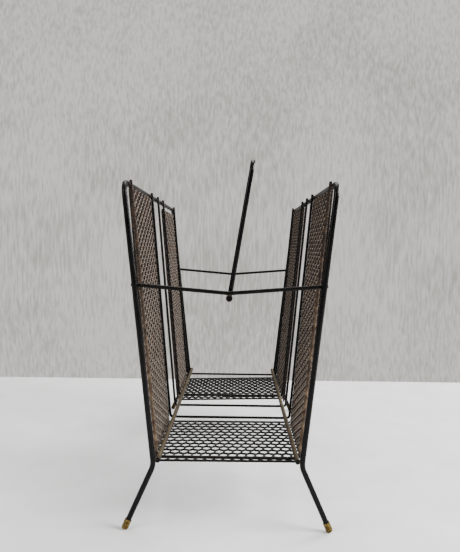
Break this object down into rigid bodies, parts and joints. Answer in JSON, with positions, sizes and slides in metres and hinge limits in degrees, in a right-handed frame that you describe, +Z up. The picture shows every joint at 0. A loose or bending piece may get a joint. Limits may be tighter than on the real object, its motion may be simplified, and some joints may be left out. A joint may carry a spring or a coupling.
{
  "type": "magazine rack",
  "caption": "Free-standing wire magazine rack with a U-shaped cradle, expanded metal sides and floor, splayed legs with brass tips and a swinging bail handle.",
  "frame": {"origin": "on the floor under the middle of the rack", "axes": "+X across the rack to its right, +Y along the rack from the front end to the rear end, +Z up"},
  "size_m": [0.2126, 0.437, 0.3693],
  "materials": {
    "frame_rod": "satin black enamel on steel rod",
    "cradle_wire": "satin black enamel on steel wire",
    "brace_wire": "satin black enamel on steel wire",
    "handle_eye": "satin black enamel, browned at the weld",
    "handle_rod": "satin black enamel on steel rod",
    "bottom_rail": "worn, dusty brown-black enamel",
    "mesh_sheet": "aged brown-black enamel on expanded steel",
    "foot_tip": "aged brass cap"
  },
  "bodies": {
    "rack": {"left_side_frame": "frame_rod", "left_bottom_rail": "bottom_rail", "right_side_frame": "frame_rod", "right_bottom_rail": "bottom_rail", "cradle_wire_1": "cradle_wire", "cradle_wire_2": "cradle_wire", "cradle_wire_3": "cradle_wire", "cradle_wire_4": "cradle_wire", "cradle_wire_5": "cradle_wire", "front_brace_wire": "brace_wire", "front_handle_eye": "handle_eye", "rear_brace_wire": "brace_wire", "rear_handle_eye": "handle_eye", "front_left_foot_tip": "foot_tip", "front_left_side_mesh": "mesh_sheet", "front_right_foot_tip": "foot_tip", "front_right_side_mesh": "mesh_sheet", "front_floor_mesh": "mesh_sheet", "rear_left_foot_tip": "foot_tip", "rear_left_side_mesh": "mesh_sheet", "rear_right_foot_tip": "foot_tip", "rear_right_side_mesh": "mesh_sheet", "rear_floor_mesh": "mesh_sheet"},
    "handle": {"carrying_handle": "handle_rod"}
  },
  "joints": [
    {"name": "handle_swing", "type": "hinge", "parent": "rack", "child": "handle", "pos_m": [0, 0, 0.23102], "axis": [0, 1, 0], "range_deg": [-51.7, 33.1]}
  ]
}
